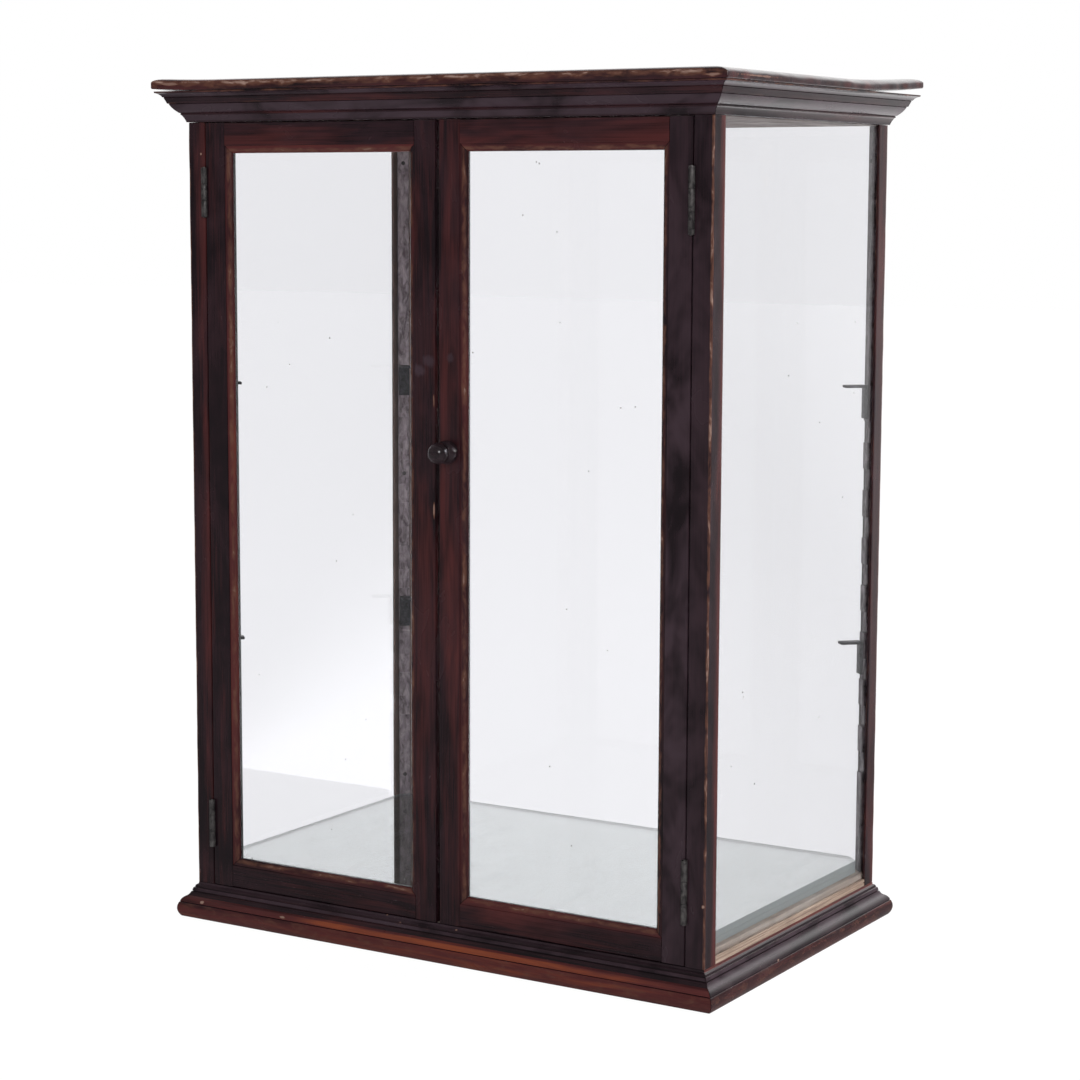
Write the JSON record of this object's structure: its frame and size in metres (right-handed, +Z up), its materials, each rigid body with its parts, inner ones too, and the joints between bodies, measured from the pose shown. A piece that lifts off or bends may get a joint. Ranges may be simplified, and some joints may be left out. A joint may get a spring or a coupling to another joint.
{
  "type": "countertop display cabinet",
  "caption": "Upright glazed display cabinet in dark stained wood with a pair of framed glass doors, moulded base and cornice, notched shelf strips and loose glass shelves.",
  "frame": {"origin": "centre of the base's underside, on the counter", "axes": "+X along the front to the right as seen from the front, +Y to the back, +Z up"},
  "size_m": [0.5284, 0.3504, 0.7053],
  "materials": {
    "stained_wood": "dark stained and waxed, worn on the arrises",
    "raw_wood": "unfinished, aged",
    "glass": "clear",
    "tinned_strip": "dull and mottled",
    "clip_iron": "dull",
    "hinge_brass": "aged and darkened",
    "bolt_brass": "aged",
    "knob_black": "black polish, glossy"
  },
  "bodies": {
    "case": {"bottom_board": "raw_wood", "ceiling_board": "raw_wood", "base_moulding_front": "stained_wood", "cornice_front": "stained_wood", "base_moulding_back": "stained_wood", "cornice_back": "stained_wood", "base_moulding_left": "stained_wood", "cornice_left": "stained_wood", "base_moulding_right": "stained_wood", "cornice_right": "stained_wood", "top_board": "stained_wood", "post_front_left": "stained_wood", "shelf_strip_front_left": "tinned_strip", "shelf_clip_lower_front_left": "clip_iron", "shelf_clip_upper_front_left": "clip_iron", "post_front_right": "stained_wood", "shelf_strip_front_right": "tinned_strip", "shelf_clip_lower_front_right": "clip_iron", "shelf_clip_upper_front_right": "clip_iron", "post_rear_left": "stained_wood", "shelf_strip_rear_left": "tinned_strip", "shelf_clip_lower_rear_left": "clip_iron", "shelf_clip_upper_rear_left": "clip_iron", "post_rear_right": "stained_wood", "shelf_strip_rear_right": "tinned_strip", "shelf_clip_lower_rear_right": "clip_iron", "shelf_clip_upper_rear_right": "clip_iron", "side_pane_left": "glass", "side_pane_right": "glass", "back_pane": "glass", "glass_shelf_lower": "glass", "glass_shelf_upper": "glass", "left_lower_hinge_post_leaf": "hinge_brass", "left_lower_hinge_pin": "hinge_brass", "left_upper_hinge_post_leaf": "hinge_brass", "left_upper_hinge_pin": "hinge_brass", "right_lower_hinge_post_leaf": "hinge_brass", "right_lower_hinge_pin": "hinge_brass", "right_upper_hinge_post_leaf": "hinge_brass", "right_upper_hinge_pin": "hinge_brass"},
    "left_door": {"left_door_hinge_stile": "stained_wood", "left_door_meeting_stile": "stained_wood", "left_door_top_rail": "stained_wood", "left_door_bottom_rail": "stained_wood", "left_door_glazing_bead": "stained_wood", "left_door_pane": "glass", "left_lower_hinge_door_leaf": "hinge_brass", "left_upper_hinge_door_leaf": "hinge_brass", "bolt_case": "bolt_brass"},
    "right_door": {"right_door_hinge_stile": "stained_wood", "right_door_meeting_stile": "stained_wood", "right_door_top_rail": "stained_wood", "right_door_bottom_rail": "stained_wood", "right_door_glazing_bead": "stained_wood", "right_door_pane": "glass", "right_lower_hinge_door_leaf": "hinge_brass", "right_upper_hinge_door_leaf": "hinge_brass"},
    "knob": {"turn_knob": "knob_black", "turn_tongue": "clip_iron"},
    "bolt": {"bolt_rod": "bolt_brass"}
  },
  "joints": [
    {"name": "left_door_swing", "type": "hinge", "parent": "case", "child": "left_door", "pos_m": [-0.226, -0.1546, 0.348], "axis": [0, 0, -1], "range_deg": [0, 170]},
    {"name": "right_door_swing", "type": "hinge", "parent": "case", "child": "right_door", "pos_m": [0.226, -0.1546, 0.348], "axis": [0, 0, 1], "range_deg": [0, 170]},
    {"name": "knob_turn", "type": "hinge", "parent": "right_door", "child": "knob", "pos_m": [0.0128, -0.153, 0.4095], "axis": [0, 1, 0], "range_deg": [0, 90]},
    {"name": "bolt_slide", "type": "slide", "parent": "left_door", "child": "bolt", "axis": [0, 0, 1], "range_m": [0, 0.009]}
  ]
}
